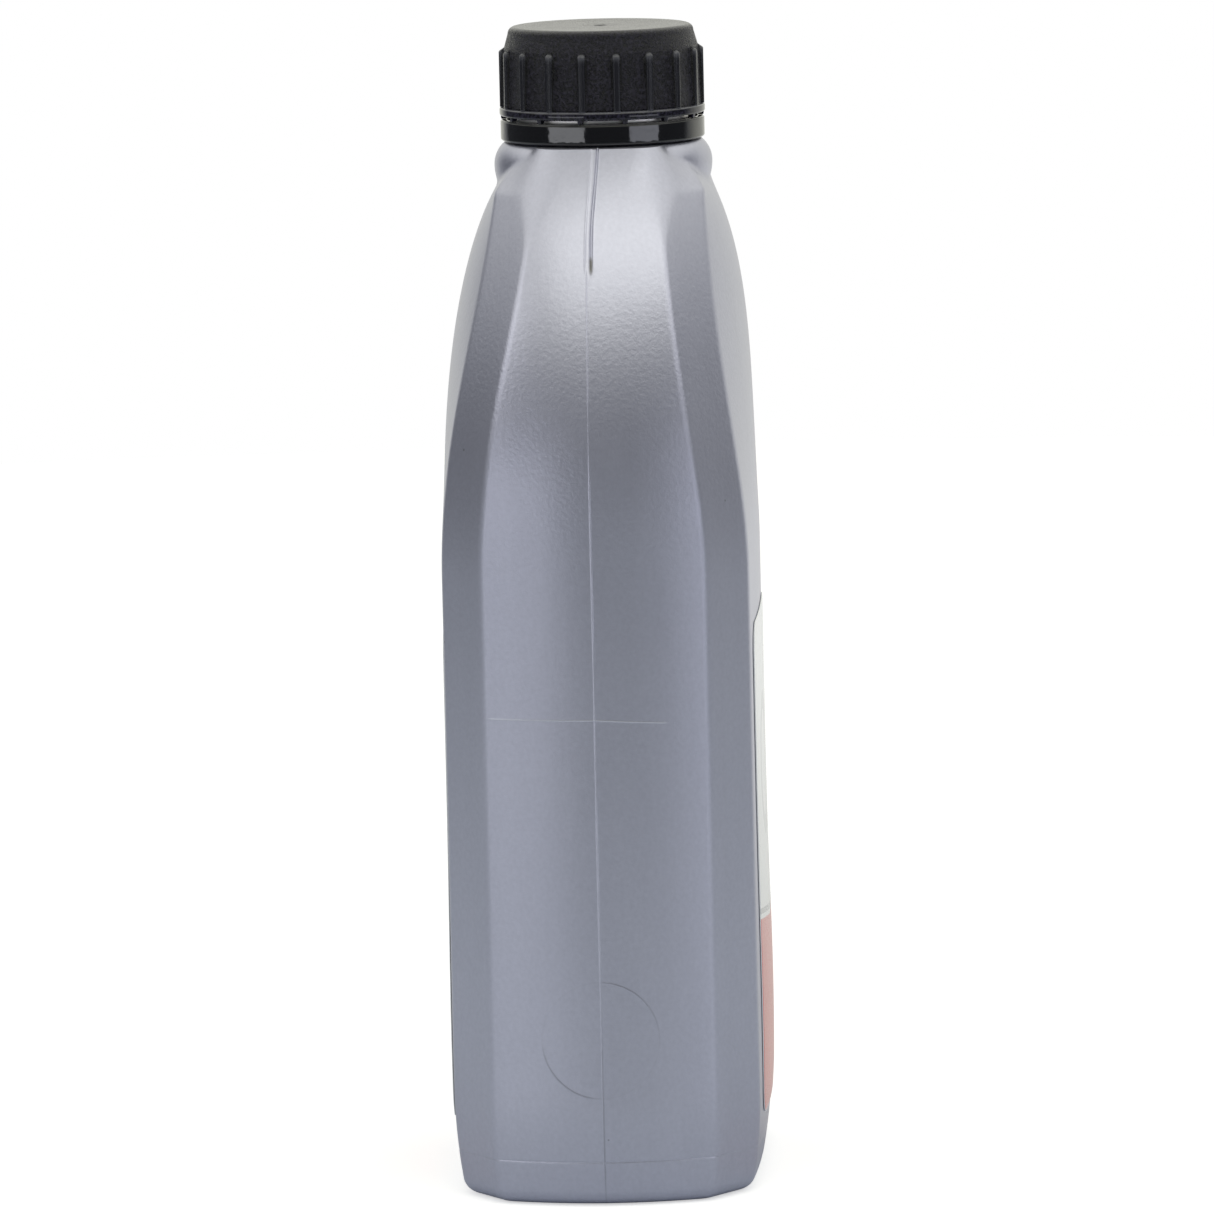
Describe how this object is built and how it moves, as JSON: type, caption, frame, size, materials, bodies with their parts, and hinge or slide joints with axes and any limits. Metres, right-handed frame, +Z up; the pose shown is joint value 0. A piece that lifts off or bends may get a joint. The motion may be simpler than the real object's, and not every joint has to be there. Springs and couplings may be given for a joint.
{
  "type": "cutting fluid bottle",
  "caption": "Flat blow-moulded plastic bottle with chamfered sides and arched shoulders, a ribbed black screw cap over a sealing wad, a tamper band and a plain label on each wide face.",
  "frame": {"origin": "middle of the bottle's foot, on the surface it stands on", "axes": "+Z up along the neck, +X across the bottle's width towards one narrow side, -Y towards the front label"},
  "size_m": [0.102, 0.0666, 0.238],
  "materials": {
    "silver_plastic": "satin",
    "band_plastic": "gloss",
    "cap_plastic": "satin",
    "wad_foam": "matte",
    "front_print": "gloss",
    "back_print": "gloss"
  },
  "bodies": {
    "bottle": {"bottle": "silver_plastic", "tamper_band": "band_plastic", "front_label": "front_print", "back_label": "back_print"},
    "wad": {"sealing_wad": "wad_foam"},
    "cap": {"cap": "cap_plastic"}
  },
  "joints": [
    {"name": "cap_lift", "type": "slide", "parent": "bottle", "child": "wad", "axis": [0, 0, 1], "range_m": [0, 0.006]},
    {"name": "cap_turn", "type": "hinge", "parent": "wad", "child": "cap", "pos_m": [0, -0.0019, 0.228], "axis": [0, 0, 1], "range_deg": [0, 540]}
  ],
  "couplings": [
    {"joint": "cap_lift", "follows": "cap_turn", "m_per_rad": 0.00063662}
  ]
}
